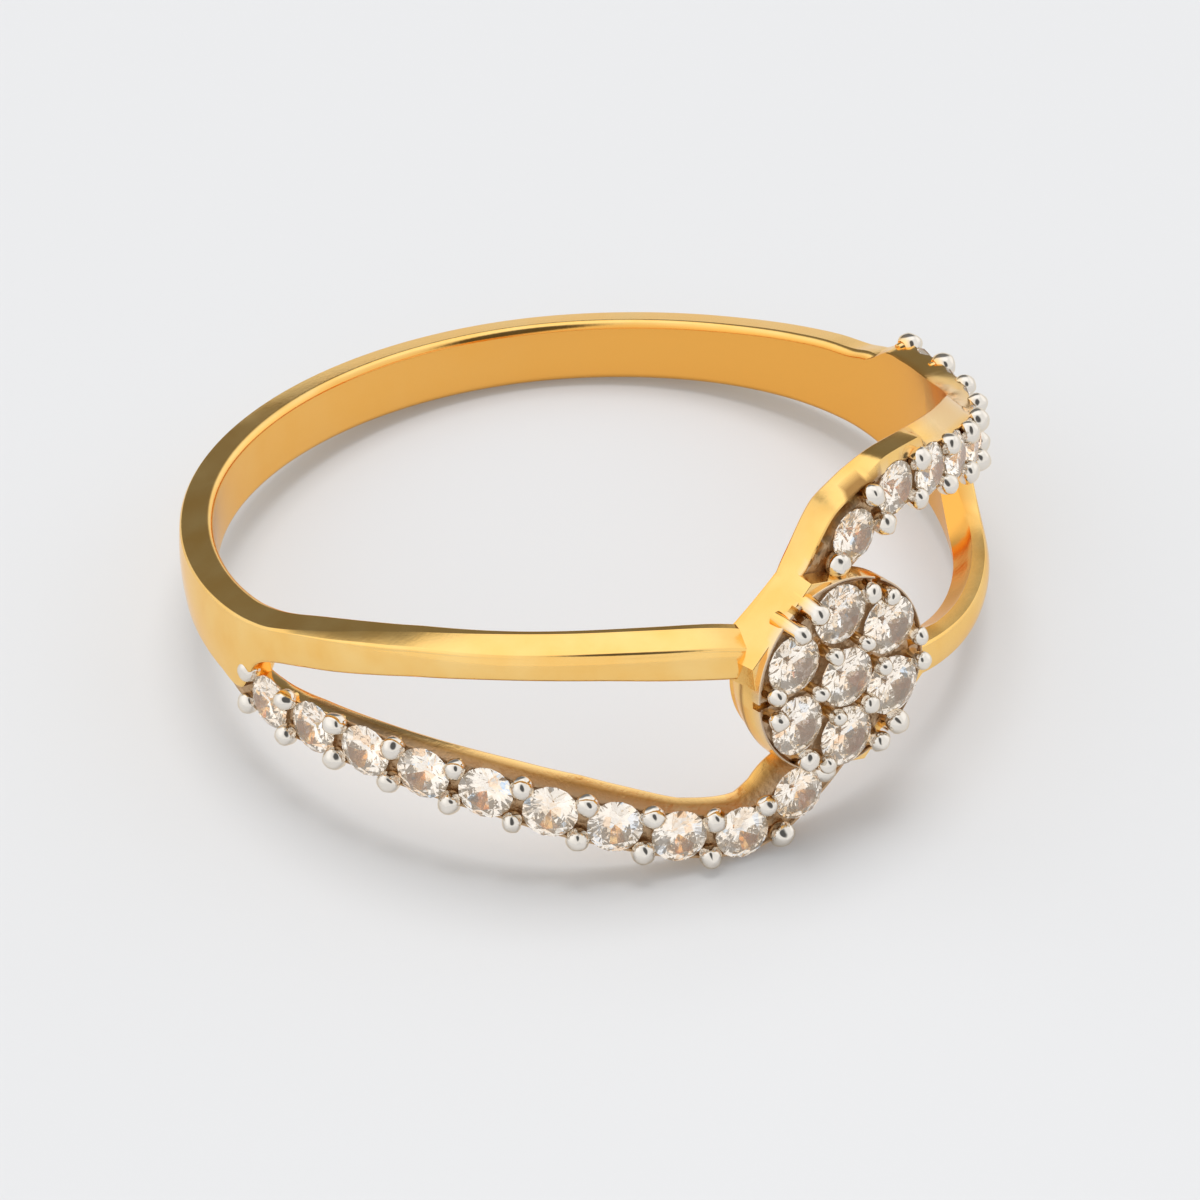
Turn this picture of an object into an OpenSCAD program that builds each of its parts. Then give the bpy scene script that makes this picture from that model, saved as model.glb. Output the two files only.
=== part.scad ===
// A split-shank ring with cubic zirconia stones, lying on its side.
//
// Ring frame: Z is the axis of the finger hole and the head faces -Y. The left half is described
// from the head backwards, and the right half is the same half turned half way round about Y.
// On the left the plain arm is the upper one and the stone arm the lower one, so on the right the
// stone arm is the upper one. Angles are degrees from the head, positive to the left.

/* [Finger hole] */
// Radius of the finger hole
finger_r = 8.65; // [8.5:0.05:8.8]
// Thickness of the plain band, from the finger hole outwards
band_t = 0.8; // [0.7:0.05:0.9]

/* [Stones in the arms] */
// Diameter of an arm stone
arm_stone_d = 1.3; // [1.2:0.05:1.3]
// Distance from one arm stone to the next
arm_pitch = 1.53; // [1.5:0.01:1.55]
// Angle of the stone that is furthest from the head
first_stone_angle = 89.3; // [88:0.1:90]
// Number of stones in the left arm
arm_stones = 10; // [8:1:10]

/* [Head] */
// Diameter of a stone in the round head
head_stone_d = 1.45; // [1.4:0.01:1.46]
// Distance from the middle stone to each stone round it
head_ring_r = 1.59; // [1.57:0.01:1.62]
// Radius of the head's round cup
cup_r = 2.38; // [2.35:0.01:2.42]
// How far the middle stone stands above the stones round it
middle_rise = 0.14; // [0.05:0.01:0.2]

/* [Prongs] */
// Diameter of the bead on each prong of the arms
arm_bead_d = 0.46; // [0.42:0.02:0.48]
// Diameter of the bead on each prong of the head
head_bead_d = 0.42; // [0.38:0.02:0.44]
// Distance across the two rows of prongs
prong_rows = 0.95; // [0.92:0.01:1]

/* [Lying on its side] */
// Lean away from the head, which rests on the lower stone arm
lean_back = 9.4; // [9:0.1:10]
// Lean to the side
lean_side = 5.4; // [5:0.1:6]

/* [Hidden] */
right_fewer = 1;        // how many stones fewer the right arm has, at its back end
$fn = 48;

gold = [0.95, 0.71, 0.32];
clear = [0.88, 0.92, 0.96];

// Columns of the two tables below
ANGLE = 0;
UPPER = 1;
LOWER = 2;
LOWER_RIGHT = 3;
// The plain arm, then the whole band behind the split: heights of its upper and lower edge, and of
// the lower edge in the right half, where the arms part nearer to the head
PLAIN = [
    [6, 1.15, 0.20, 0.20],
    [16, 1.65, 0.55, 0.55],
    [25, 1.87, 0.82, 0.82],
    [35, 1.97, 1.03, 1.03],
    [48, 1.97, 1.08, 1.08],
    [60, 1.90, 0.95, 0.95],
    [66, 1.79, 0.80, 0.20],
    [70, 1.70, 0.68, -1.00],
    [75, 1.56, 0.52, -1.35],
    [80, 1.40, 0.36, -1.35],
    [87, 1.12, 0.06, -1.32],
    [91, 1.00, -0.30, -1.30],
    [95, 0.92, -1.16, -1.16],
    [101, 0.86, -1.10, -1.10],
    [108, 0.82, -1.00, -1.00],
    [120, 0.80, -0.86, -0.86],
    [136, 0.80, -0.78, -0.78],
    [155, 0.78, -0.77, -0.77],
    [180, 0.77, -0.77, -0.77]
];
// The stone arm: height of its middle line, how far it reaches towards the plain arm at the finger
// hole, and how far it reaches the other way on the right, where that side is a broad face
MIDDLE = 1;
REACH = 2;
FACE = 3;
STONE_ARM = [
    [-4, -1.75, 0.80, 0.62],
    [0, -2.30, 0.95, 0.90],
    [6, -2.98, 1.18, 1.30],
    [10, -3.38, 1.10, 1.20],
    [15, -3.58, 0.98, 1.05],
    [24, -3.36, 0.92, 1.02],
    [33, -2.92, 0.88, 1.10],
    [42, -2.46, 0.80, 1.12],
    [50, -2.06, 0.72, 1.00],
    [60, -1.71, 0.64, 0.74],
    [70, -1.44, 0.54, 0.55],
    [80, -1.28, 0.44, 0.50],
    [85, -1.24, 0.37, 0.44],
    [90, -1.18, 0.30, 0.05],
    [97, -1.00, 0.22, -0.15],
    [104, -0.60, 0.20, -0.15]
];

step = 4;               // angle between two sections of an arm
bury = 0.15;            // how far each arm starts inside the finger hole, before the hole is cut
top_fall = 0.14;        // how much lower the upper face is at its outer edge
edge = 0.1;             // bevel of the band's outer edges
inner_edge = 0.18;      // bevel of the edges at the finger hole
dome = 0.05;            // swell of the band's outer face
bed_t = 0.52;           // thickness of the stone arm under its stones
bed_half = 0.56;        // half the width of the stone arm at its outer face
rail_half = 0.62;       // how far the left stone arm reaches away from the plain arm
rail_h = 0.3;           // height up to which that side stands upright
face_h = 0.04;          // the same on the right, where it is a broad slanting face
arm_slant = 0.06;       // how far a side that is narrower than the outer face leans outwards
arm_min = 0.1;          // least width of the arm at the finger hole, where it starts
stone_gap = 0.03;       // space between a stone and its seat
arm_girdle_h = 0.60;    // height of the arm stones' girdles above the finger hole
head_girdle_h = 1.18;   // height of the same in the head
arm_bead_h = 0.73;      // height of the arm prongs' beads above the finger hole
first_bead_h = 0.66;    // height of the first two, which stand on the band
arm_post_l = 0.4;       // length of the posts under these beads
head_bead_h = 1.42;     // height of the outer beads of the head
inner_rise = 0.1;       // how much higher the inner ones are
prong_r = 0.19;         // radius of a prong's post
inner_prong_r = 0.14;   // radius of a post between three stones
inner_post_l = 0.7;     // length of such a post
outer_post_foot = 0.5;  // height at which the outer posts start
outer_post_top = 0.1;   // how far below its bead's middle such a post ends
outer_prong_ring = cup_r - 0.14;
outer_bead_ring = cup_r - 0.3;
bead_foot = 60;         // a bead's profile runs from this far below its middle
bead_top = 75;          // to this far above it
bead_step = 22.5;
pair_half_angle = 8;    // half the angle between the two prongs of a pair
rim_h = 1.10;           // height of the cup's rim above the finger hole
rim_edge = 0.04;        // bevel of that rim
cup_root = 1;           // how far cup and webs start inside the finger hole, before it is cut
cup_foot_r = 2.15;      // radius of the cup at the finger hole
cup_foot_h = 0.4;       // height at which the cup reaches its full radius
web_flare = 0.14;       // how far the web's foot stands out past the cup
web_top = 0.1;          // how far below the rim the web ends
web_start = 92;         // angle round the cup at which the web starts
web_angle = 68;         // how far it goes round
notch_w = 0.16;         // width of the notch between the two prongs of a pair
notch_d = 0.4;          // depth of that notch
far = 30;

// Proportions of a round stone of radius 1
table_r = 0.57;
crown_h = 0.28;
star_r = 0.78;
girdle_h = 0.05;
pavilion_h = 0.80;
lower_r = 0.25;

// A smooth curve through one column of a table
function row_at(t, a, i = 0) = i >= len(t) - 2 || a < t[i + 1][ANGLE] ? i : row_at(t, a, i + 1);
function rate(t, i, j, c) = (t[j][c] - t[i][c]) / (t[j][ANGLE] - t[i][ANGLE]);
function slope(t, i, c) = rate(t, max(i - 1, 0), min(i + 1, len(t) - 1), c);
function ease(u, v0, v1, s0, s1) =
    v0 * (2 * u ^ 3 - 3 * u ^ 2 + 1) + v1 * (3 * u ^ 2 - 2 * u ^ 3)
    + s0 * (u ^ 3 - 2 * u ^ 2 + u) + s1 * (u ^ 3 - u ^ 2);
function along(t, a, c) =
    let (i = row_at(t, a), w = t[i + 1][ANGLE] - t[i][ANGLE])
    ease((a - t[i][ANGLE]) / w, t[i][c], t[i + 1][c], w * slope(t, i, c), w * slope(t, i + 1, c));

// Points and directions on the ring
function outward(a) = [-sin(a), -cos(a), 0];
function on_ring(r, a, z) = r * outward(a) + [0, 0, z];
function unit(v) = v / norm(v);

// The plain band's outline at angle a, on the left half
function plain_section(a, up, low) =
    let (r = finger_r + band_t, mid = (up + low) / 2)
    [
        on_ring(finger_r + inner_edge, a, low),
        on_ring(finger_r - bury, a, low + inner_edge + bury),
        on_ring(finger_r - bury, a, up - inner_edge - bury),
        on_ring(finger_r + inner_edge, a, up),
        on_ring(r - edge, a, up - top_fall),
        on_ring(r, a, up - top_fall - edge),
        on_ring(r + dome, a, mid),
        on_ring(r, a, low + edge),
        on_ring(r - edge, a, low)
    ];
// Past the back, the right half is the left half turned over
function plain_heights(a) =
    a <= 180
        ? [along(PLAIN, a, UPPER), along(PLAIN, a, LOWER)]
        : [-along(PLAIN, 360 - a, LOWER_RIGHT), -along(PLAIN, 360 - a, UPPER)];

// The stone arm's middle line at radius r, its direction, and the direction across it, away from the
// plain arm
function middle(a, r) = on_ring(r, a, along(STONE_ARM, a, MIDDLE));
function heading(a, r) = unit(middle(a - 0.5, r) - middle(a + 0.5, r));
function across(a, r) = cross(heading(a, r), outward(a));
// The angle that lies a distance d nearer to the head along the middle line
function nearer(a, d, r) = a - d / norm(middle(a + 0.5, r) - middle(a - 0.5, r));
function stone_angle(i, r) =
    i == 0 ? first_stone_angle : nearer(nearer(stone_angle(i - 1, r), arm_pitch / 2, r), arm_pitch / 2, r);

function stone_arm_section(a, foot, foot_h) =
    let (r = finger_r, w = across(a, r), reach = along(STONE_ARM, a, REACH))
    [for (p = [
        [min(bury + inner_edge - reach, foot - arm_min), -bury], [foot, -bury], [foot, foot_h],
        [min(bed_half, foot + arm_slant), bed_t], [-min(bed_half, reach + arm_slant), bed_t],
        [-reach, inner_edge]
    ]) middle(a, r + p[1]) + p[0] * w];

// A closed solid through a row of sections with the same number of points
module sweep(sections) {
    n = len(sections[0]);
    m = len(sections);
    polyhedron(
        points = [for (s = sections) each s],
        faces = concat(
            [[for (i = [n - 1 : -1 : 0]) i]],
            [for (j = [0 : m - 2]) for (i = [0 : n - 1])
                each [
                    [j * n + i, j * n + (i + 1) % n, (j + 1) * n + (i + 1) % n],
                    [j * n + i, (j + 1) * n + (i + 1) % n, (j + 1) * n + i]
                ]],
            [[for (i = [0 : n - 1]) (m - 1) * n + i]]
        )
    );
}

// Puts its children at p, with Z along n and X along t
module place(p, n, t) {
    y = cross(n, t);
    multmatrix([
        [t[0], y[0], n[0], p[0]],
        [t[1], y[1], n[1], p[1]],
        [t[2], y[2], n[2], p[2]],
        [0, 0, 0, 1]
    ]) children();
}

module half_turn() { rotate([0, 180, 0]) children(); }
module both_halves() {
    children();
    half_turn() children();
}
module lie_down() { rotate([-lean_back, 0, 0]) rotate([0, lean_side, 0]) children(); }

// A round brilliant of radius r, its girdle at height 0, its table up
module brilliant(r) {
    g = girdle_h / 2;
    tilt = (crown_h - g) / (1 - table_r);
    star_h = g + tilt * (1 - star_r * cos(22.5));
    lower_h = -g - (pavilion_h - g) * (1 - lower_r * cos(22.5));
    rings = concat(
        [for (i = [0 : 7]) [table_r * cos(45 * i), table_r * sin(45 * i), crown_h]],
        [for (i = [0 : 7]) [star_r * cos(45 * i + 22.5), star_r * sin(45 * i + 22.5), star_h]],
        [for (i = [0 : 15]) [cos(22.5 * i), sin(22.5 * i), g]],
        [for (i = [0 : 15]) [cos(22.5 * i), sin(22.5 * i), -g]],
        [for (i = [0 : 7]) [lower_r * cos(45 * i + 22.5), lower_r * sin(45 * i + 22.5), lower_h]],
        [[0, 0, -pavilion_h]]
    );
    table = 0;
    star = 8;
    top = 16;
    bottom = 32;
    lower = 48;
    culet = 56;
    faces = concat(
        [[for (i = [7 : -1 : 0]) table + i]],
        [for (i = [0 : 7]) let (k = (i + 1) % 8, b = (i + 7) % 8) each [
            [table + i, table + k, star + i],
            [table + i, star + i, top + 2 * i, star + b],
            [star + i, top + 2 * i + 1, top + 2 * i],
            [star + i, top + 2 * k, top + 2 * i + 1],
            [lower + i, bottom + 2 * i, bottom + 2 * i + 1],
            [lower + i, bottom + 2 * i + 1, bottom + 2 * k],
            [culet, lower + b, bottom + 2 * i, lower + i]
        ]],
        [for (i = [0 : 15]) [top + i, top + (i + 1) % 16, bottom + (i + 1) % 16, bottom + i]]
    );
    polyhedron(points = r * rings, faces = faces);
}

// The seat that is cut away for a stone of radius r
module seat(r) {
    wall = stone_gap / sin(atan(1 / pavilion_h));
    top = 0.3;
    slope = 1 / pavilion_h;
    translate([0, 0, -pavilion_h * r - wall])
        cylinder(h = pavilion_h * r + wall, r1 = 0.001, r2 = (pavilion_h * r + wall) * slope);
    translate([0, 0, -0.01]) cylinder(h = top, r = (pavilion_h * r + wall) * slope);
}

// A round bead with a small flat on top
module bead(r) {
    rotate_extrude()
        polygon(concat(
            [[0, -r * sin(bead_foot)]],
            [for (t = [-bead_foot : bead_step : bead_top]) r * [cos(t), sin(t)]],
            [[0, r * sin(bead_top)]]
        ));
}

// A prong: a post from depth d below the bead's centre, and the bead
module prong(post_r, bead_r, d) {
    translate([0, 0, -d]) cylinder(h = d, r = post_r);
    bead(bead_r);
}

arm_girdle = finger_r + arm_girdle_h;
head_girdle = finger_r + head_girdle_h;
angles = [for (i = [0 : arm_stones]) stone_angle(i, arm_girdle)];

module at_arm_stone(i) {
    a = angles[i];
    place(middle(a, arm_girdle), outward(a), heading(a, arm_girdle)) children();
}
module at_head_stone(k) {
    ring = k == 0 ? 0 : head_ring_r;
    rise = k == 0 ? middle_rise : 0;
    place(
        [ring * cos(60 * k - 30), -head_girdle - rise, ring * sin(60 * k - 30)], [0, -1, 0], [1, 0, 0]
    ) children();
}

// One row of prongs on each side of the arm, between the stones and past the last one. The first
// stone of the arm is the one with the number given.
module arm_prongs(first) {
    for (i = [first - 1 : arm_stones - 1]) {
        r = finger_r + (i < first ? first_bead_h : arm_bead_h);
        a = nearer(i < 0 ? first_stone_angle : angles[i], (i < 0 ? -1 : 1) * arm_pitch / 2, arm_girdle);
        for (side = i < arm_stones - 1 ? [-1, 1] : [0])
            place(middle(a, r) + side * prong_rows / 2 * across(a, r), outward(a), heading(a, r))
                prong(prong_r, arm_bead_d / 2, arm_post_l);
    }
}

module cup() {
    rotate([90, 0, 0])
        rotate_extrude()
            polygon([
                [0, finger_r - cup_root],
                [cup_foot_r, finger_r - cup_root],
                [cup_foot_r, finger_r - bury],
                [cup_r, finger_r + cup_foot_h],
                [cup_r, finger_r + rim_h - rim_edge],
                [cup_r - rim_edge, finger_r + rim_h],
                [0, finger_r + rim_h]
            ]);
}

module head_prongs() {
    for (k = [0 : 5]) {
        rotate([0, -60 * k, 0])
            translate([head_ring_r / sqrt(3), -finger_r - head_bead_h - inner_rise, 0])
                rotate([90, 0, 0]) prong(inner_prong_r, head_bead_d / 2, inner_post_l);
        for (side = [-1, 1])
            rotate([0, -60 * k + side * pair_half_angle, 0]) {
                translate([outer_prong_ring, -finger_r - outer_post_foot, 0])
                    rotate([90, 0, 0])
                        cylinder(h = head_bead_h - outer_post_top - outer_post_foot, r = prong_r);
                translate([outer_bead_ring, -finger_r - head_bead_h, 0])
                    rotate([90, 0, 0]) bead(head_bead_d / 2);
            }
    }
}

// The flared wall that joins the plain arm, the cup and the other side's stone arm
module web() {
    rotate([90, 0, 0])
        rotate_extrude(angle = web_angle, start = web_start)
            polygon([
                [0, finger_r - cup_root],
                [cup_r + web_flare, finger_r - cup_root],
                [cup_r + web_flare, finger_r],
                [cup_r - 0.02, finger_r + rim_h - web_top],
                [0, finger_r + rim_h - web_top]
            ]);
}

module notch() {
    over = 0.5;
    translate([cup_r - over, -finger_r - rim_h - over, -notch_w / 2])
        cube([2 * over, over + notch_d, notch_w]);
}

module band() {
    color(gold) lie_down() difference() {
        union() {
            sweep([for (a = [6 : step : 354]) plain_section(a, plain_heights(a)[0], plain_heights(a)[1])]);
            sweep([for (a = [104 : -step : -4]) stone_arm_section(a, rail_half, rail_h)]);
            half_turn() sweep([for (a = [96 : -step : -4])
                stone_arm_section(a, along(STONE_ARM, a, FACE), face_h)]);
            arm_prongs(0);
            half_turn() arm_prongs(right_fewer);
            both_halves() web();
            cup();
            head_prongs();
        }
        for (i = [0 : arm_stones - 1]) at_arm_stone(i) seat(arm_stone_d / 2);
        half_turn() for (i = [right_fewer : arm_stones - 1]) at_arm_stone(i) seat(arm_stone_d / 2);
        for (k = [0 : 6]) at_head_stone(k) seat(head_stone_d / 2);
        for (k = [0 : 5]) rotate([0, -60 * k, 0]) notch();
        translate([0, 0, -far / 2]) cylinder(h = far, r = finger_r, $fn = 180);
    }
}

module left_stone(i) {
    color(clear) lie_down() at_arm_stone(i - 1) brilliant(arm_stone_d / 2);
}
module right_stone(i) {
    color(clear) lie_down() half_turn()
        at_arm_stone(i - 1 + right_fewer) brilliant(arm_stone_d / 2);
}
module head_stone(k) {
    color(clear) lie_down() at_head_stone(k) brilliant(head_stone_d / 2);
}

band();
for (i = [1 : arm_stones]) left_stone(i);
for (i = [1 : arm_stones - right_fewer])
    right_stone(i);
for (k = [0 : 6]) head_stone(k);
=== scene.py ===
# A split-shank ring with clear round stones, lying on its side on a pale floor.
import math
import random

import bmesh
import bpy
import numpy as np
from mathutils import Matrix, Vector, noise


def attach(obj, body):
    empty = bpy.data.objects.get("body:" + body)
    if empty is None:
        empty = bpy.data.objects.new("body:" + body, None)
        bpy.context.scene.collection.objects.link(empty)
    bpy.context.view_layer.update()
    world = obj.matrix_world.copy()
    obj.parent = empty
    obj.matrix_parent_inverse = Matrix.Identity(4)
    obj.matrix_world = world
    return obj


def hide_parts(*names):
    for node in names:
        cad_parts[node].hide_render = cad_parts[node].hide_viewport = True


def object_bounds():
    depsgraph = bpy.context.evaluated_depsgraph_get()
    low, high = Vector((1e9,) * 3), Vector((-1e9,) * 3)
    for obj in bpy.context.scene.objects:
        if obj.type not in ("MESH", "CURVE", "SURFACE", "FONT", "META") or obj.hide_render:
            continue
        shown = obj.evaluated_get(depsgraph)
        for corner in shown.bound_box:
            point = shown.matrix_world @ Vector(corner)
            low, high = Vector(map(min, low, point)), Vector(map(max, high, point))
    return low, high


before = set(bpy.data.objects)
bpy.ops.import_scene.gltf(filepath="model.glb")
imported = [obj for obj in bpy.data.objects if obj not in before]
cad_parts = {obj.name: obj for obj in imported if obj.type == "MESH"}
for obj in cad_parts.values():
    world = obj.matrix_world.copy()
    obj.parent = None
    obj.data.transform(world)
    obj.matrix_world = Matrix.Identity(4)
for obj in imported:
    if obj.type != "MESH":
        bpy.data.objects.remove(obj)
cad_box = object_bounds()

# Sizes in millimetres, in the ring's own frame: Z is the finger hole's axis and the head faces -Y.
# Angles are degrees from the head, positive to the left. The right half is the left half turned
# half way round about Y, apart from the columns marked RIGHT.
HOLE_R = 8.65
WALL = 0.8
LEAN_BACK = 9.4
LEAN_SIDE = 5.4

ANGLE, UPPER, LOWER, LOWER_RIGHT, FACET, LEAN = range(6)
# The band's upper and lower edge, the lower edge of the right half, and the upper facet: how far it
# reaches down the outer face, and how far it leans in
PLAIN = [
    (6, 1.15, .20, .20, .28, .50), (16, 1.65, .55, .55, .26, .55), (25, 1.87, .82, .82, .24, .58),
    (35, 1.97, 1.03, 1.03, .22, .60), (48, 1.97, 1.08, 1.08, .22, .60), (60, 1.90, .95, .95, .16, .50),
    (66, 1.79, .80, .20, .14, .42), (70, 1.70, .68, -1.00, .12, .35), (75, 1.56, .52, -1.35, .09, .22),
    (80, 1.40, .36, -1.35, .06, .12), (87, 1.12, .06, -1.32, .05, .03), (91, 1.00, -.30, -1.30, .05, .03),
    (95, .92, -1.16, -1.16, .05, .03), (101, .86, -1.10, -1.10, .05, .03), (108, .82, -1.00, -1.00, .05, .03),
    (120, .80, -.86, -.86, .05, .03), (136, .80, -.78, -.78, .05, .03), (155, .78, -.77, -.77, .05, .03),
    (180, .77, -.77, -.77, .05, .03),
]
MIDDLE, REACH, FACE = 1, 2, 3
# The stone arm's middle line, how far the arm reaches towards the plain arm, and how far it reaches
# the other way on the right, where that side is a broad face
STONE_ARM = [
    (-4, -1.75, .80, .62), (0, -2.30, .95, .90), (6, -2.98, 1.18, 1.26), (10, -3.38, 1.10, 1.11),
    (15, -3.58, .98, .96), (24, -3.36, .92, .97), (33, -2.92, .88, 1.08), (42, -2.46, .80, 1.12),
    (50, -2.06, .72, 1.00), (60, -1.71, .64, .74), (70, -1.44, .54, .55), (80, -1.28, .44, .50),
    (85, -1.24, .37, .44), (90, -1.18, .30, .05), (97, -1.00, .22, -.15), (104, -.60, .20, -.15),
]
# Above this height there is only the right stone arm
CROSSED_Z = 2.2
# The arms' stones: diameter, spacing, the first one's angle, number, and how many fewer on the right
ARM_STONE_D, ARM_PITCH, FIRST_STONE, ARM_STONES, RIGHT_FEWER = 1.3, 1.53, 89.3, 10, 1
# The head: the stones' diameter, the ring they stand on, the cup, and the middle stone's rise
HEAD_STONE_D, HEAD_RING_R, CUP_R, MIDDLE_RISE = 1.45, 1.59, 2.38, .14
# Where the stones are widest, how deep they are for each millimetre of radius, and the cup's height
ARM_GIRDLE, HEAD_GIRDLE = HOLE_R + .60, HOLE_R + 1.18
PAVILION = .80
RIM_H = 1.12
# Middle and half length of the flat on the right stone arm's broad face, and how far its ends run out
FLAT_A, FLAT_HALF, FLAT_ENDS = 17.5, 3.4, 3
# The solids that stand on the finger hole start inside it, and the hole is cut out of them afterwards
START_R = 7.65
# Size and depth of the cast grain between the stones
GRAIN, GRAIN_DEPTH = .12, .035
# Prongs: the post's radius, the bead's radius, the length, and the foot's share of the post's radius
ARM_PRONG, INNER_PRONG = (.14, .275, .34, .8), (.15, .225, .6, .8)
RIM_PRONG, TONGUE = (.17, .235, .7, .8), (.22, .25, .8, .9)
# The arms' prongs: how far they stand from the middle line, and their height, lower at the back end
ARM_PRONG_OUT, ARM_PRONG_H, LAST_PRONG_H = .465, .73, .66
# The head's prongs: the ring and height of those at the rim, the height of the inner ones, and half
# the angle between the two of a pair
RIM_PRONG_R, RIM_PRONG_H, INNER_PRONG_H, HALF_PAIR = 2.09, 1.42, 1.52, 8.5
# How many waves a millimetre the beads' uneven surface has, and how deep they are
WAVES, WAVE_DEPTH = 4, .035


def curve(table, a, column):
    """A smooth curve through one column of a table."""
    i = 0
    while i < len(table) - 2 and a >= table[i + 1][ANGLE]:
        i += 1

    def rate(p, q):
        return (table[q][column] - table[p][column]) / (table[q][ANGLE] - table[p][ANGLE])

    def slope(k):
        return rate(max(k - 1, 0), min(k + 1, len(table) - 1))
    w = table[i + 1][ANGLE] - table[i][ANGLE]
    u = (a - table[i][ANGLE]) / w
    return (table[i][column] * (2 * u**3 - 3 * u**2 + 1) + table[i + 1][column] * (3 * u**2 - 2 * u**3)
            + w * slope(i) * (u**3 - 2 * u**2 + u) + w * slope(i + 1) * (u**3 - u**2))


def blend(u, v, share):
    return u + (v - u) * share


def cosd(t):
    return math.cos(math.radians(t))


def sind(t):
    return math.sin(math.radians(t))


def limited(u):
    return min(1, max(0, u))


def outward(a):
    """The direction away from the finger hole's axis at angle a."""
    return np.array([-sind(a), -cosd(a), 0])


def on_ring(r, a, z):
    return r * outward(a) + np.array([0, 0, z])


def unit(v):
    return v / np.linalg.norm(v)


def eased(u):
    """0 below 0, 1 above 1, and a soft step between them."""
    u = limited(u)
    return u * u * (3 - 2 * u)


HALF_TURN = np.diag([-1.0, 1.0, -1.0])


def lie_down():
    """The turn that lays the ring on its side, with the step from millimetres to metres."""
    back = Matrix.Rotation(math.radians(-LEAN_BACK), 4, "X")
    return back @ Matrix.Rotation(math.radians(LEAN_SIDE), 4, "Y") @ Matrix.Scale(.001, 4)


# Meshes

def make(name, points, faces):
    mesh = bpy.data.meshes.new(name)
    mesh.from_pydata([tuple(p) for p in points], [], faces)
    mesh.validate()
    piece = bpy.data.objects.new(name, mesh)
    bpy.context.scene.collection.objects.link(piece)
    return piece


def sweep(name, sections):
    """A closed solid through a row of sections with the same number of points."""
    m, n = len(sections), len(sections[0])
    faces = [tuple(range(n))[::-1]]
    for j in range(m - 1):
        for i in range(n):
            k = (i + 1) % n
            faces.append((j * n + i, j * n + k, (j + 1) * n + k, (j + 1) * n + i))
    faces.append(tuple((m - 1) * n + i for i in range(n)))
    piece = make(name, [p for s in sections for p in s], faces)
    work = bmesh.new()
    work.from_mesh(piece.data)
    if work.calc_volume(signed=True) < 0:
        bmesh.ops.reverse_faces(work, faces=work.faces)
        work.to_mesh(piece.data)
    work.free()
    return piece


def revolve(name, profile, place, sides):
    """A solid of revolution: profile is radius and height from the lower pole to the upper one."""
    points = [place @ np.array([0, 0, profile[0][1], 1])]
    for r, h in profile[1:-1]:
        for i in range(sides):
            t = 2 * math.pi * i / sides
            points.append(place @ np.array([r * math.cos(t), r * math.sin(t), h, 1]))
    points.append(place @ np.array([0, 0, profile[-1][1], 1]))
    last = len(points) - 1
    faces = []
    for i in range(sides):
        k = (i + 1) % sides
        faces.append((0, 1 + k, 1 + i))
        for j in range(len(profile) - 3):
            b = 1 + j * sides
            faces.append((b + i, b + k, b + sides + k, b + sides + i))
        b = 1 + (len(profile) - 3) * sides
        faces.append((b + i, b + k, last))
    return make(name, [p[:3] for p in points], faces)


def frame_at(p, n, t):
    """Puts a local form at p, with its Z along n and its X along t."""
    m = np.eye(4)
    m[:3, 0], m[:3, 1], m[:3, 2], m[:3, 3] = t, np.cross(n, t), n, p
    return m


def turned(piece, m):
    """A copy of a piece, turned by a 3 x 3 matrix."""
    other = piece.copy()
    other.data = piece.data.copy()
    other.data.transform(Matrix(m.tolist()).to_4x4())
    bpy.context.scene.collection.objects.link(other)
    return other


def combine(base, others, operation):
    """Joins the others to the base, or cuts them from it, and deletes them."""
    group = bpy.data.collections.new("operands")
    for o in others:
        group.objects.link(o)
    cut = base.modifiers.new("combine", "BOOLEAN")
    cut.operation, cut.solver = operation, "MANIFOLD"
    cut.operand_type, cut.collection = "COLLECTION", group
    seen = base.evaluated_get(bpy.context.evaluated_depsgraph_get())
    mesh = bpy.data.meshes.new_from_object(seen)
    base.modifiers.clear()
    old, base.data = base.data, mesh
    bpy.data.meshes.remove(old)
    for o in others:
        bpy.data.objects.remove(o)
    bpy.data.collections.remove(group)


def merge(name, pieces):
    """One piece of several, not cut against each other."""
    with bpy.context.temp_override(active_object=pieces[0], selected_editable_objects=pieces):
        bpy.ops.object.join()
    pieces[0].name = name
    return pieces[0]


def mark(piece, name, rule):
    """Writes a number for each point, from a rule on its place in the ring's frame."""
    values = piece.data.attributes.new(name, "FLOAT", "POINT")
    for v in piece.data.vertices:
        values.data[v.index].value = limited(rule(v.co))


def finish(piece, angle):
    """Lays a finished piece in its place, in metres, with smooth faces and edges that are crisp from
    the given angle on."""
    piece.data.transform(lie_down())
    piece.data.polygons.foreach_set("use_smooth", [True] * len(piece.data.polygons))
    piece.data.set_sharp_from_angle(angle=math.radians(angle))


def grain(p):
    return GRAIN_DEPTH * noise.fractal(tuple(q / GRAIN for q in p), 1.0, 2.0, 3)


# The plain band and arms

def quarter(cr, cz, r, start, stop, steps):
    """Points of an arc about (cr, cz), from one angle to another."""
    return [(cr + r * cosd(t), cz + r * sind(t)) for t in np.linspace(start, stop, steps)]


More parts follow.
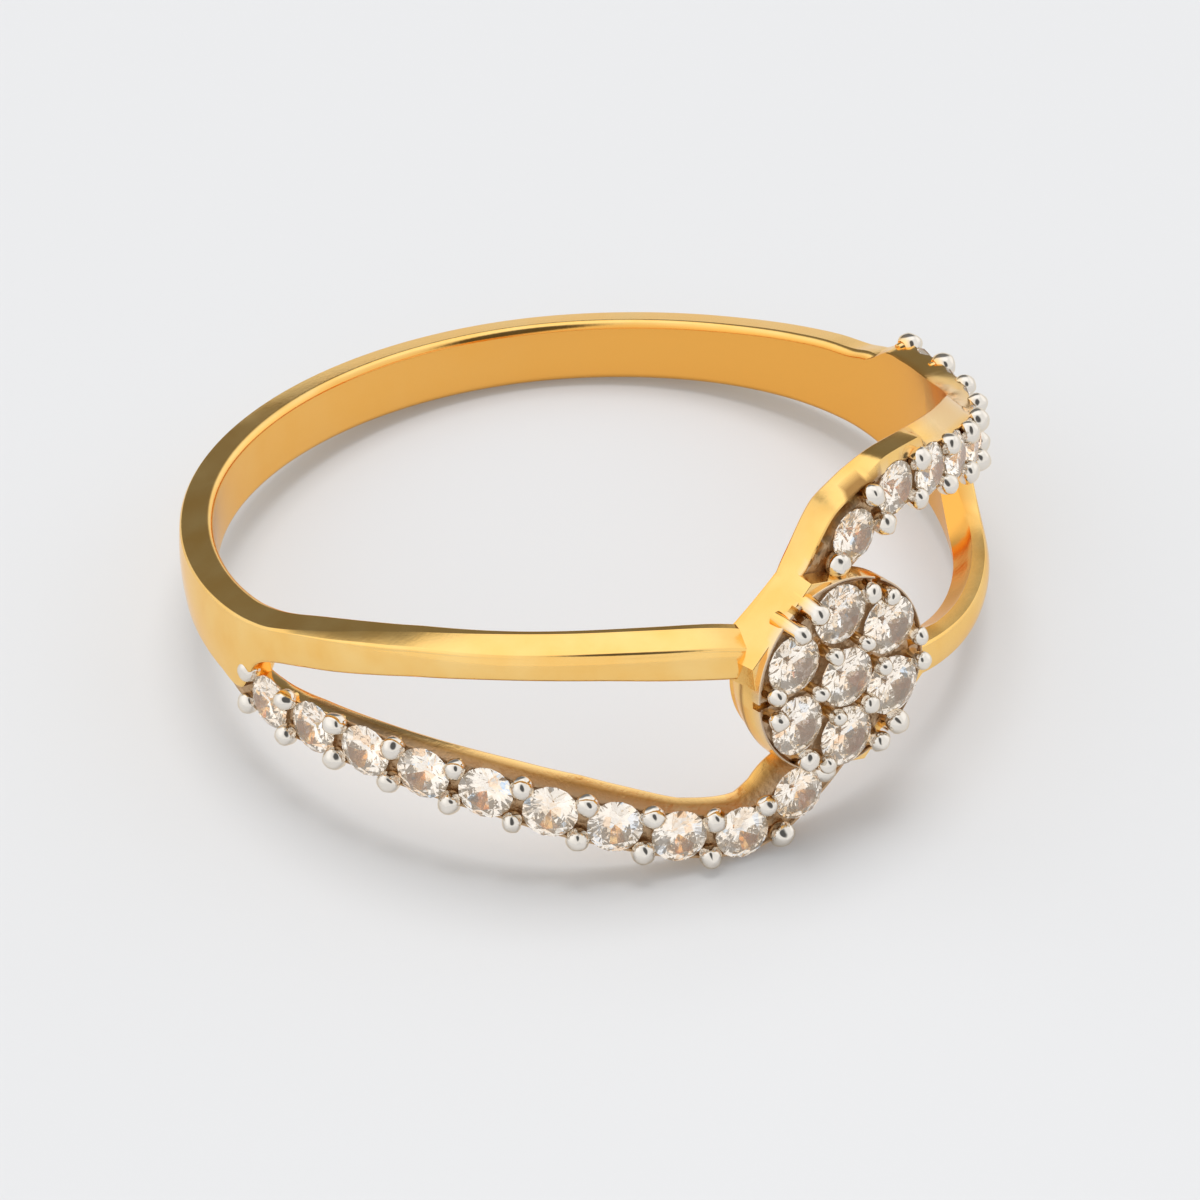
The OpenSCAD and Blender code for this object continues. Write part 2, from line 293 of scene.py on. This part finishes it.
def plain_section(a, up, low, facet_up, lean_up, facet_low, lean_low, inner_up, slope, fall):
    """The band's outline at angle a. A facet leans in along each of its outer edges, and the upper
    side slopes down towards the finger hole, by fall where slope is 1."""
    r = HOLE_R + WALL
    inner, edge, dome = .2, .03, .05
    top = up - .22 * (WALL - lean_up - edge - inner_up)
    crease, foot = top - facet_up, low + .02 + facet_low
    steep = math.degrees(math.atan2(facet_up, lean_up))
    bend = .1 * min(1, (facet_up + lean_up) / .5)
    drop = bend * math.tan(math.radians(45 - steep / 2))
    rows = [(HOLE_R + blend(inner_up * (1 - cosd(85 * u)), .46 * u, slope),
             up - blend(inner_up * (1 - sind(85 * u)), fall * (1 - u) ** .9, slope))
            for u in np.linspace(0, 1, 9)]
    rows += quarter(r - lean_up - edge, top - edge * .6, edge, 85, min(84, 92 - steep), 4)
    rows += quarter(r - bend, crease - drop, bend, 90 - steep, 0, 8)
    rows += [(r + dome * (1 - (2 * t - 1) ** 2), crease - drop - t * (crease - drop - foot))
             for t in np.linspace(.06, 1, 9)]
    rows += [(r - .08 * lean_low, foot - .06 * facet_low), (r - .25 * lean_low, foot - .32 * facet_low)]
    rows += quarter(r - lean_low - edge, low + edge, edge, -30, -90, 5)
    rows += quarter(HOLE_R + inner, low + inner, inner, 265, 180, 9)
    return [on_ring(q, a, z) for q, z in rows]


def plain_band():
    sections = []
    for a in np.arange(6, 354.01, .75):
        b = min(a, 360 - a)
        facet, lean = curve(PLAIN, b, FACET), curve(PLAIN, b, LEAN)
        if a <= 180:
            inner_up = .07 + .13 * limited((b - 75) / 20)
            sections.append(plain_section(
                a, curve(PLAIN, b, UPPER), curve(PLAIN, b, LOWER), facet, lean, .05, .03, inner_up, 0, 0))
        else:
            slope = limited(min(72 - b, b - 14) / 12)
            sections.append(plain_section(
                a, -curve(PLAIN, b, LOWER_RIGHT), -curve(PLAIN, b, UPPER), .05, .03, facet, min(lean, .54),
                .2, slope, blend(.2, .5, limited((b - 25) / 45))))
    return sweep("gold_body", sections)


# The stone arms

def middle(a, r):
    """The left stone arm's middle line at angle a, at distance r from the finger hole's axis."""
    return on_ring(r, a, curve(STONE_ARM, a, MIDDLE))


def heading(a, r):
    """The direction along the stone arm, towards the head."""
    return unit(middle(a - .5, r) - middle(a + .5, r))


def across(a, r):
    """The direction across the stone arm, away from the plain arm."""
    return np.cross(heading(a, r), outward(a))


def nearer(a, d, r):
    """The angle of the point that is d further along the stone arm towards the head."""
    return a - d / np.linalg.norm(middle(a + .5, r) - middle(a - .5, r))


STONE_ANGLES = [FIRST_STONE]
for _ in range(ARM_STONES):
    between = nearer(STONE_ANGLES[-1], ARM_PITCH / 2, ARM_GIRDLE)
    STONE_ANGLES.append(nearer(between, ARM_PITCH / 2, ARM_GIRDLE))


def face_top(a):
    """Where the right stone arm's broad face ends, by the stones."""
    foot = curve(STONE_ARM, a, FACE)
    return max(min(.6, foot + .06), foot - .44 + .17 * eased((15.5 - a) / 7))


def reach_at(a, right):
    """How far the arm reaches towards the plain arm. The left rail is worn a little thinner."""
    worn = 0 if right else .21 * limited(a / 4) * limited((40 - a) / 15)
    return curve(STONE_ARM, a, REACH) - worn


def stone_arm(name, right):
    """A stone arm without seats and prongs, drawn in the left arm's place. The rail is how far it reaches
    away from the plain arm, the bed the height of the metal between the stones, and the lip the height
    of the edges beside them."""
    rail, bed, lip = .60, .52, .58
    sections = []
    for a in np.arange(100 if right else 104, -4.01, -.5):
        w, out, reach = across(a, HOLE_R), outward(a), reach_at(a, right)
        side = -min(.56, reach + .06)
        if right:
            foot = curve(STONE_ARM, a, FACE)
            top = face_top(a)
            flat = eased(1 - (abs(a - FLAT_A) - FLAT_HALF) / FLAT_ENDS)
            rows = [(min(.1 - reach, foot - .15), -.15), (foot - .1, -.15), (foot - .02, 0), (foot, .04),
                    (blend(.7 * foot + .3 * top, foot, flat), .2),
                    (blend(.25 * foot + .75 * top, foot - .02, flat), blend(.44, .57, flat)),
                    (top + .02, lip + .01), (top - .01, lip + .02), (top - .06, lip + .01)]
        else:
            top = lip
            rows = [(.1 - reach, -.15), (rail - .1, -.15), (rail - .03, .02), (rail, .08), (rail, .2),
                    (rail, .3), (top + .02, lip - .04), (top - .01, lip), (top - .06, lip - .01)]
        start, stop = len(rows), len(rows) + 12
        rows += [(t, bed - .2 * limited((t - .5) / .1))
                 for t in np.linspace(top - .1, side + .1, stop - start)]
        rows += [(side + .06, lip - .02), (side + .02, lip - .02), (side, lip - .05),
                 (.5 * (side - reach) - .02, .3), (-reach, .08), (-reach + .02, .02)]
        section = []
        for k, (x, h) in enumerate(rows):
            p = middle(a, HOLE_R + h) + x * w
            if start <= k < stop:
                p = p + out * grain(p)
            section.append(p)
        sections.append(section)
    return sweep(name, sections)


# The head's cup and the walls that flare from it

HEAD = frame_at([0, 0, 0], np.array([0, -1, 0]), np.array([1, 0, 0]))


def cup():
    top = HOLE_R + RIM_H
    profile = [(0, START_R), (2.15, START_R), (2.15, 8.5), (2.24, 8.72), (2.32, 8.92), (2.37, 9.08),
               (CUP_R, 9.2), (CUP_R, 9.45), (CUP_R, top - .03), (CUP_R - .015, top - .005),
               (CUP_R - .04, top), (CUP_R - .055, top - .02), (CUP_R - .07, top - .1)]
    profile += [(r, top - .06) for r in np.arange(2.26, .05, -.08)]
    profile.append((0, top - .06))
    piece = revolve("cup", profile, HEAD, sides=144)
    for v in piece.data.vertices:
        p = v.co
        ring = math.hypot(p.x, p.z)
        if ring < CUP_R - .1 and -p.y > 9.4:
            p.y -= grain(p)
    return piece


def web(name):
    """A wall with flat faces at the side of the cup, from the finger hole up to the rim. Its corners
    are given by their angle round the cup and by how far out they stand."""
    sections = []
    for t, out in ((88, -.02), (104, .22), (158, .22), (170, .02)):
        c, s, r = cosd(t), sind(t), CUP_R + out
        rows = [(.02, START_R), (r + .14, START_R), (r + .14, HOLE_R), (r + .005, HOLE_R + RIM_H - .125),
                (r - .005, HOLE_R + RIM_H - .115), (.02, HOLE_R + RIM_H - .11)]
        sections.append([(HEAD @ np.array([q * c, q * s, h, 1]))[:3] for q, h in rows])
    return sweep(name, sections)


def arm_seats(half, first):
    """Each arm stone's place, with the directions out of its seat and along the arm."""
    return [(half @ middle(a, ARM_GIRDLE), half @ outward(a), half @ heading(a, ARM_GIRDLE))
            for a in STONE_ANGLES[first:-1]]


def round_head(t):
    """The direction at angle t round the middle of the head."""
    return np.array([cosd(t), 0, sind(t)])


def head_seats():
    seats = []
    for k in range(7):
        ring, rise = (HEAD_RING_R, 0) if k else (0, MIDDLE_RISE)
        p = ring * round_head(60 * k - 30) + np.array([0, -HEAD_GIRDLE - rise, 0])
        seats.append((p, np.array([0.0, -1, 0]), np.array([1.0, 0, 0])))
    return seats


def seat_cutter(r, place):
    """The cone under a stone, with a narrow shelf and a round opening above it."""
    gap, room = .022, .03
    deep = PAVILION * r + gap / math.sin(math.atan(1 / PAVILION))
    top = r + room
    profile = [(0, -deep), (top * .98, -.012), (top, .02), (top, .3), (0, .3)]
    return revolve("seat", profile, place, sides=48)


def box_cutter(x, y, z):
    corners = [(i, j, k) for i in x for j in y for k in z]
    faces = [(0, 1, 3, 2), (4, 6, 7, 5), (0, 4, 5, 1), (2, 3, 7, 6), (0, 2, 6, 4), (1, 5, 7, 3)]
    return make("notch", corners, faces)


def at_arm(p):
    """A point's place on the nearer stone arm: how far across it, and how far out from the hole."""
    x, y, z = p
    if math.copysign(1, x) > 0 and z > 0 or z > CROSSED_Z:
        x, z, right = -x, -z, True
    else:
        right = False
    a = math.degrees(math.atan2(-x, -y))
    if not -4 < a < 103:
        return None
    steep = (curve(STONE_ARM, a + .5, MIDDLE) - curve(STONE_ARM, a - .5, MIDDLE)) / (HOLE_R * math.radians(1))
    d = (curve(STONE_ARM, a, MIDDLE) - z) / math.hypot(1, steep)
    return d, math.hypot(x, y) - HOLE_R, a, right


def rough_and_shaded(p):
    """1 where the metal is left rough from the mould and darkened by painted shade: under and between
    the stones, and beside them.
    """
    if math.hypot(p[0], p[2]) < CUP_R - .005 and -p[1] > HOLE_R + .3:
        return 1
    place = at_arm(p)
    if place is None:
        return 0
    d, h, a, right = place
    top = face_top(a) - .05 if right else .58
    edge, start = (.05, .05) if right or a > 82 else (-.05, .1)
    beside = edge - reach_at(a, right) < d < top and h < .75
    return limited((h - start) / .06) if beside else 0


def in_seat(p, seats):
    """True where a point lies in the cone under a stone."""
    for axis, lift, radius in seats:
        away = p - axis
        up = away @ lift
        if up < -.015 and math.sqrt(max(0, away @ away - up * up)) < radius + .04 + up / PAVILION:
            return True
    return False


def plated_and_highlit(p):
    """1 where the prongs' white plate has run on to the metal round them. A faint pale line along the
    left stone arm's edge by the finger hole is a painted highlight.
    """
    ring = math.hypot(p[0], p[2])
    if p[1] < 0 and ring < CUP_R + .01:
        return min(1, (-p[1] - HOLE_R - RIM_H + .2) / .16) * (.4 if ring > CUP_R - .09 else .3)
    place = at_arm(p)
    if place is None:
        return 0
    d, h, a, right = place
    if right and d > face_top(a) + .03:
        return .3 * limited((a - 26) / 6) * limited((90 - a) / 12) if h > .01 else 0
    # A faint pale line along the left rail's edge by the finger hole: painted highlight
    if not right and -.06 < d + reach_at(a, right) < .06 and .01 < h < .14:
        return .12
    return .2 if abs(d) < .64 and .46 < h < .75 else 0


def inside(p):
    """Painted shade: the deeper colour painted on the finger hole's wall, fainter towards the left, and
    on the right plain arm's slope that goes down to it."""
    b, h = math.degrees(math.atan2(p[0], -p[1])), math.hypot(p[0], p[1]) - HOLE_R
    if 14 < b < 74 and p[2] < .6:
        return 1 - (h - .44) / .06
    # Painted shade on the cup's lower side by the finger hole
    if abs(p[0]) < 2.45 and p[1] < 0 and p[2] < -.2 and math.hypot(p[0], p[2]) > CUP_R - .3:
        return .6 * limited((1.05 - h) / .2)
    return min(1, 1.4 - h / .05) * blend(.5, 1, eased((p[0] + 9) / 18))


def clear_of(seats, rule):
    """The same rule, with 0 in the cones under the stones."""
    def kept(p):
        share = rule(p)
        return 0 if share and in_seat(np.array(p), seats) else share
    return kept


def gold_body():
    setting = stone_arm("arm_a", False)
    other = stone_arm("arm_b", True)
    other.data.transform(Matrix(HALF_TURN.tolist()).to_4x4())
    wall = web("web_a")
    combine(setting, [other, wall, turned(wall, HALF_TURN), cup()], "UNION")
    hole_r, past = HOLE_R + .001, 15
    hole = revolve("hole", [(0, -past), (hole_r, -past), (hole_r, past), (0, past)], np.eye(4), sides=480)
    combine(setting, [hole], "DIFFERENCE")
    body = plain_band()
    combine(body, [setting], "UNION")
    places = [(s, ARM_STONE_D / 2) for s in arm_seats(np.eye(3), 0) + arm_seats(HALF_TURN, RIGHT_FEWER)]
    places += [(s, HEAD_STONE_D / 2) for s in head_seats()]
    cutters = [seat_cutter(r, frame_at(*s)) for s, r in places]
    seats = [(s[0], s[1], r * .97) for s, r in places]
    for k in range(6):
        rim = -HOLE_R - RIM_H
        notch = box_cutter((CUP_R - .4, CUP_R + .03), (rim - .5, rim + .24), (-.09, .09))
        notch.data.transform(Matrix.Rotation(math.radians(60 * k), 4, "Y"))
        cutters.append(notch)
    combine(body, cutters, "DIFFERENCE")
    # Rough metal, darkened by painted shade, under and between the stones
    mark(body, "rough_and_shaded", clear_of(seats, rough_and_shaded))
    # White plate round the prongs, and a painted highlight on the left rail's edge
    mark(body, "plating_and_highlight", clear_of(seats, plated_and_highlit))
    # Painted shade in the finger hole and on the slopes down to it
    mark(body, "inside", inside)
    finish(body, angle=16)
    return body


# Prongs

SEED = 7
rng = random.Random(SEED)
noise.seed_set(SEED)


def prong(place, sizes):
    """A post that swells into a round bead, a little uneven. Its local origin is the bead's middle."""
    post_r, bead_r, length, foot = sizes
    size = bead_r * rng.uniform(.95, 1.06)
    neck = -math.degrees(math.acos(min(1, post_r / size)))
    profile = [(0, -length), (post_r * foot, -length), (post_r, -length * .6)]
    profile += [(size * cosd(t), size * 1.04 * sind(t)) for t in np.linspace(neck + 6, 84, 10)]
    profile.append((0, size * 1.04))
    piece = revolve("prong", profile, place, sides=20)
    white = piece.data.attributes.new("plating_and_highlight", "FLOAT", "POINT")
    inverse = np.linalg.inv(place)
    uneven = np.diag([rng.uniform(.92, 1.12), rng.uniform(.92, 1.08), 1, 1])
    for v in piece.data.vertices:
        local = inverse @ np.array([*v.co, 1])
        white.data[v.index].value = limited((local[2] + .26) / .2)
        v.co = (place @ uneven @ local)[:3]
        v.co += noise.noise_vector(tuple(q * WAVES for q in v.co)) * WAVE_DEPTH
    return piece


def arm_prongs(name, half, first):
    """The pairs of beads between an arm's stones, and a single one by the head. The first stones are
    left out."""
    pieces = []
    for i in range(first - 1, ARM_STONES):
        r = HOLE_R + (LAST_PRONG_H if i < first else ARM_PRONG_H)
        stone, step = (FIRST_STONE, -ARM_PITCH / 2) if i < 0 else (STONE_ANGLES[i], ARM_PITCH / 2)
        a = nearer(stone, step, ARM_GIRDLE)
        for side in ((-1, 1) if i < ARM_STONES - 1 else (0,)):
            p = half @ (middle(a, r) + side * ARM_PRONG_OUT * across(a, r))
            pieces.append(prong(frame_at(p, half @ outward(a), half @ heading(a, r)), ARM_PRONG))
    return merge(name, pieces)


def head_prongs():
    pieces = []
    up = np.array([0.0, -1, 0])
    for k in range(6):
        side = round_head(60 * k)
        p = side * HEAD_RING_R / math.sqrt(3) + up * (HOLE_R + INNER_PRONG_H)
        pieces.append(prong(frame_at(p, up, side), INNER_PRONG))
        for s in (-1, 1):
            side = round_head(60 * k + HALF_PAIR * s)
            sizes, slant = (TONGUE, .30) if k in (2, 5) else (RIM_PRONG, .06)
            lean = unit(up - slant * side)
            p = side * RIM_PRONG_R + up * (HOLE_R + RIM_PRONG_H)
            pieces.append(prong(frame_at(p, lean, unit(np.cross(np.cross(lean, side), lean))), sizes))
    return merge("prongs_head", pieces)


# Materials

def material(name):
    m = bpy.data.materials.new(name)
    m.use_nodes = True
    tree = m.node_tree
    return m, tree, tree.nodes["Principled BSDF"]


def node(tree, kind, settings=None, **values):
    n = tree.nodes.new(kind)
    for k, v in (settings or {}).items():
        setattr(n, k, v)
    for k, v in values.items():
        n.inputs[k].default_value = v
    return n


# Colours of the gold: deepest, lightest, painted shade in the ring, rough as cast and darkened by
# painted shade, and white under plating, also used for a painted highlight
DEEPEST, LIGHTEST = (.97, .585, .17, 1), (1, .67, .245, 1)
SHADED_INSIDE, SHADED_CAST, PLATED_AND_HIGHLIGHT = (.91, .45, .09, 1), (.42, .23, .075, 1), (.82, .77, .70, 1)


def gold_material(name, polish):
    """Polished gold, with polish as its least roughness. Where the points are marked it has a deeper
    colour painted as shade in the finger hole, is rough and darkened by painted shade between the
    stones, or is white where plated and in a painted highlight."""
    m, tree, shader = material(name)
    link = tree.links.new
    place = node(tree, "ShaderNodeTexCoord")
    shader.inputs["Metallic"].default_value = 1
    shader.inputs["Specular Tint"].default_value = (1, .9, .74, 1)
    cloud = node(tree, "ShaderNodeTexNoise", Scale=900, Detail=3)
    link(place.outputs["Object"], cloud.inputs["Vector"])
    fine = node(tree, "ShaderNodeTexNoise", Scale=9000, Detail=4)
    link(place.outputs["Object"], fine.inputs["Vector"])
    tint = node(tree, "ShaderNodeValToRGB")
    tint.color_ramp.elements[0].color = DEEPEST
    tint.color_ramp.elements[1].color = LIGHTEST
    tint.color_ramp.elements[0].position, tint.color_ramp.elements[1].position = .3, .7
    link(cloud.outputs["Fac"], tint.inputs["Fac"])
    # Painted shade in the finger hole: a deeper colour mixed in by its mask
    hole_shade_mask = node(tree, "ShaderNodeAttribute", {"attribute_name": "inside"})
    deep = node(tree, "ShaderNodeMix", {"data_type": "RGBA"})
    deep.inputs["B"].default_value = SHADED_INSIDE
    link(hole_shade_mask.outputs["Fac"], deep.inputs["Factor"])
    link(tint.outputs["Color"], deep.inputs["A"])
    # Rough metal with painted shade: a dark brown mixed in by its mask, which also adds roughness and bumps
    rough_and_shade_mask = node(tree, "ShaderNodeAttribute", {"attribute_name": "rough_and_shaded"})
    dull_and_shaded = node(tree, "ShaderNodeMix", {"data_type": "RGBA"})
    dull_and_shaded.inputs["B"].default_value = SHADED_CAST
    link(rough_and_shade_mask.outputs["Fac"], dull_and_shaded.inputs["Factor"])
    link(deep.outputs["Result"], dull_and_shaded.inputs["A"])
    # White where plated, and a painted highlight on the left rail's edge
    white = node(tree, "ShaderNodeAttribute", {"attribute_name": "plating_and_highlight"})
    cover = node(tree, "ShaderNodeMix", {"data_type": "RGBA"})
    cover.inputs["B"].default_value = PLATED_AND_HIGHLIGHT
    link(white.outputs["Fac"], cover.inputs["Factor"])
    link(dull_and_shaded.outputs["Result"], cover.inputs["A"])
    link(cover.outputs["Result"], shader.inputs["Base Color"])
    rough = node(tree, "ShaderNodeMapRange", {}, **{"From Min": .3, "From Max": .7, "To Min": polish,
                                                    "To Max": 1.8 * polish})
    link(cloud.outputs["Fac"], rough.inputs["Value"])
    rougher = node(tree, "ShaderNodeMath", {"operation": "MULTIPLY_ADD"})
    link(rough_and_shade_mask.outputs["Fac"], rougher.inputs[0])
    rougher.inputs[1].default_value = .22
    link(rough.outputs["Result"], rougher.inputs[2])
    link(rougher.outputs["Value"], shader.inputs["Roughness"])
    depth = node(tree, "ShaderNodeMath", {"operation": "MULTIPLY_ADD"})
    link(rough_and_shade_mask.outputs["Fac"], depth.inputs[0])
    depth.inputs[1].default_value, depth.inputs[2].default_value = .8, .08
    bump = node(tree, "ShaderNodeBump", Distance=.00002)
    link(depth.outputs["Value"], bump.inputs["Strength"])
    link(fine.outputs["Fac"], bump.inputs["Height"])
    link(bump.outputs["Normal"], shader.inputs["Normal"])
    return m


def stone_material(name):
    """A clear stone. Warm tints in its colour are painted reflections of the gold, a few blue and
    orange ones are painted flashes of fire, and a faint warm glow is painted light.
    """
    m, tree, shader = material(name)
    link = tree.links.new
    shader.inputs["Transmission Weight"].default_value = 1
    shader.inputs["IOR"].default_value = 2.16
    shader.inputs["Roughness"].default_value = 0
    # Painted glow: a faint warm emission that brightens the stone
    shader.inputs["Emission Color"].default_value = (1, .82, .62, 1)
    shader.inputs["Emission Strength"].default_value = .045
    place = node(tree, "ShaderNodeTexCoord")
    # Painted fire and painted reflections: cells of blue, warm and orange tint in the colour
    painted_fire_cells = node(tree, "ShaderNodeTexVoronoi", Scale=4500)
    link(place.outputs["Object"], painted_fire_cells.inputs["Vector"])
    split = node(tree, "ShaderNodeSeparateColor")
    link(painted_fire_cells.outputs["Color"], split.inputs["Color"])
    tint = node(tree, "ShaderNodeValToRGB")
    ramp = tint.color_ramp
    ramp.elements[0].position, ramp.elements[0].color = 0, (.35, .60, 1, 1)
    ramp.elements[1].position, ramp.elements[1].color = 1, (1, .50, .20, 1)
    for position, color in ((.05, (1, .97, .92, 1)), (.5, (1, .94, .86, 1)), (.8, (.98, .88, .77, 1)),
                            (.93, (.97, .75, .53, 1))):
        ramp.elements.new(position).color = color
    link(split.outputs["Red"], tint.inputs["Fac"])
    link(tint.outputs["Color"], shader.inputs["Base Color"])
    return m


# Camera, light and floor

def camera():
    """The camera of the photo, from its direction and distance in the ring's own frame."""
    az, el, roll = (math.radians(v) for v in (35.464, 29.068, -3.637))
    aside, below, away = .403, 1.817, 225.754
    focal, photo, sensor = 9606.04, 1200, 36
    back = np.array([-math.sin(az) * math.cos(el), -math.cos(az) * math.cos(el), math.sin(el)])
    flat = np.array([math.cos(az), -math.sin(az), 0])
    tall = np.cross(back, flat)
    right = math.cos(roll) * flat + math.sin(roll) * tall
    up = -math.sin(roll) * flat + math.cos(roll) * tall
    eye = right * aside - up * below + back * away
    view = Matrix([(right[i], up[i], back[i], eye[i]) for i in range(3)] + [(0, 0, 0, 1)])
    seen = lie_down() @ view
    data = bpy.data.cameras.new("camera")
    data.sensor_width, data.lens, data.clip_start = sensor, focal / photo * sensor, .01
    piece = bpy.data.objects.new("camera", data)
    turn = seen.to_3x3().normalized().to_4x4()
    turn.translation = seen.translation
    piece.matrix_world = turn
    bpy.context.scene.collection.objects.link(piece)
    bpy.context.scene.camera = piece


def patch(tree, azimuth, elevation, wide, high, soft):
    """An oval patch of the sky, 1 in its middle and 0 outside, with a soft edge. Angles in degrees."""
    a, e = math.radians(azimuth), math.radians(elevation)
    place = node(tree, "ShaderNodeTexCoord").outputs["Generated"]
    turn = node(tree, "ShaderNodeMapping", {"vector_type": "TEXTURE"})
    turn.inputs["Rotation"].default_value = (math.pi / 2 - e, 0, a)
    turn.inputs["Scale"].default_value = (sind(wide), sind(high), 1)
    tree.links.new(place, turn.inputs["Vector"])
    split = node(tree, "ShaderNodeSeparateXYZ")
    tree.links.new(turn.outputs["Vector"], split.inputs[0])
    front = node(tree, "ShaderNodeMath", {"operation": "GREATER_THAN"})
    tree.links.new(split.outputs["Z"], front.inputs[0])
    front.inputs[1].default_value = 0
    flat = node(tree, "ShaderNodeVectorMath", {"operation": "MULTIPLY"})
    flat.inputs[1].default_value = (1, 1, 0)
    tree.links.new(turn.outputs["Vector"], flat.inputs[0])
    far = node(tree, "ShaderNodeVectorMath", {"operation": "LENGTH"})
    tree.links.new(flat.outputs[0], far.inputs[0])
    spread = node(tree, "ShaderNodeMapRange", {"interpolation_type": "SMOOTHSTEP"},
                  **{"From Min": 1 + soft, "From Max": 1 - soft, "To Min": 0, "To Max": 1})
    tree.links.new(far.outputs["Value"], spread.inputs["Value"])
    both = node(tree, "ShaderNodeMath", {"operation": "MULTIPLY"})
    tree.links.new(spread.outputs["Result"], both.inputs[0])
    tree.links.new(front.outputs["Value"], both.inputs[1])
    return both.outputs["Value"]


# Patches of light and dark in the sky: azimuth, elevation, half width, half height, softness of the
# edge, and how much the light changes there. A lamp behind the ring, a dark wall under it, a dark slit
# by the camera, and two softer lamps
PATCHES = [(140, 66, 30, 24, .3, .26), (153, 19, 29, 27, .25, -.76), (-14, 50, 20, 34, .25, -.85),
           (86, 22, 26, 18, .5, .2), (-130, 40, 40, 25, .5, .22)]
SKY, DARKEST = .96, .08


def light():
    """A studio tent with its patches, and a soft lamp overhead for the shadow."""
    world = bpy.data.worlds.new("studio")
    bpy.context.scene.world = world
    world.use_nodes = True
    tree = world.node_tree
    shader = tree.nodes["Background"]
    level = None
    for azimuth, elevation, wide, high, soft, change in PATCHES:
        step = node(tree, "ShaderNodeMath", {"operation": "MULTIPLY_ADD"})
        tree.links.new(patch(tree, azimuth, elevation, wide, high, soft), step.inputs[0])
        step.inputs[1].default_value = change
        if level is None:
            step.inputs[2].default_value = SKY
        else:
            tree.links.new(level, step.inputs[2])
        level = step.outputs["Value"]
    floored = node(tree, "ShaderNodeMath", {"operation": "MAXIMUM"})
    tree.links.new(level, floored.inputs[0])
    floored.inputs[1].default_value = DARKEST
    tree.links.new(floored.outputs["Value"], shader.inputs["Strength"])
    shader.inputs["Color"].default_value = (1, 1, 1, 1)
    lamp = bpy.data.lights.new("lamp", "SUN")
    lamp.energy, lamp.angle = 1.7, math.radians(34)
    piece = bpy.data.objects.new("lamp", lamp)
    piece.rotation_euler = (math.radians(13), 0, math.radians(135))
    piece.visible_glossy = piece.visible_transmission = False
    bpy.context.scene.collection.objects.link(piece)


def floor(height):
    size, steps = .6, 8
    row = steps + 1
    points = [(size * (i / steps * 2 - 1), size * (j / steps * 2 - 1), height)
              for j in range(row) for i in range(row)]
    faces = [(j * row + i, j * row + i + 1, (j + 1) * row + i + 1, (j + 1) * row + i)
             for j in range(steps) for i in range(steps)]
    piece = make("floor", points, faces)
    m, tree, shader = material("floor_paint")
    shader.inputs["Roughness"].default_value = .7
    place = node(tree, "ShaderNodeTexCoord")
    cloud = node(tree, "ShaderNodeTexNoise", Scale=12, Detail=2)
    tree.links.new(place.outputs["Object"], cloud.inputs["Vector"])
    tint = node(tree, "ShaderNodeValToRGB")
    tint.color_ramp.elements[0].color = (.49, .495, .505, 1)
    tint.color_ramp.elements[1].color = (.51, .515, .525, 1)
    shader.inputs["Emission Color"].default_value = (1, .995, .99, 1)
    shader.inputs["Emission Strength"].default_value = .14
    tree.links.new(cloud.outputs["Fac"], tint.inputs["Fac"])
    tree.links.new(tint.outputs["Color"], shader.inputs["Base Color"])
    piece.data.materials.append(m)


camera()
light()
bpy.context.scene.view_settings.view_transform = "Standard"

body = gold_body()
pieces = [body]
for prongs in (arm_prongs("prongs_left", np.eye(3), 0), arm_prongs("prongs_right", HALF_TURN, RIGHT_FEWER),
               head_prongs()):
    finish(prongs, angle=50)
    pieces.append(prongs)

gold = gold_material("gold", polish=.1)
plated = gold_material("plated_gold", polish=.05)
for piece in pieces:
    piece.data.materials.clear()
    piece.data.materials.append(gold if piece is body else plated)
    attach(piece, "root")
    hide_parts("band")

clear = stone_material("cubic_zirconia")
for name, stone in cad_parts.items():
    if "stone" in name:
        stone.data.materials.clear()
        stone.data.materials.append(clear)

floor(cad_box[0][2])
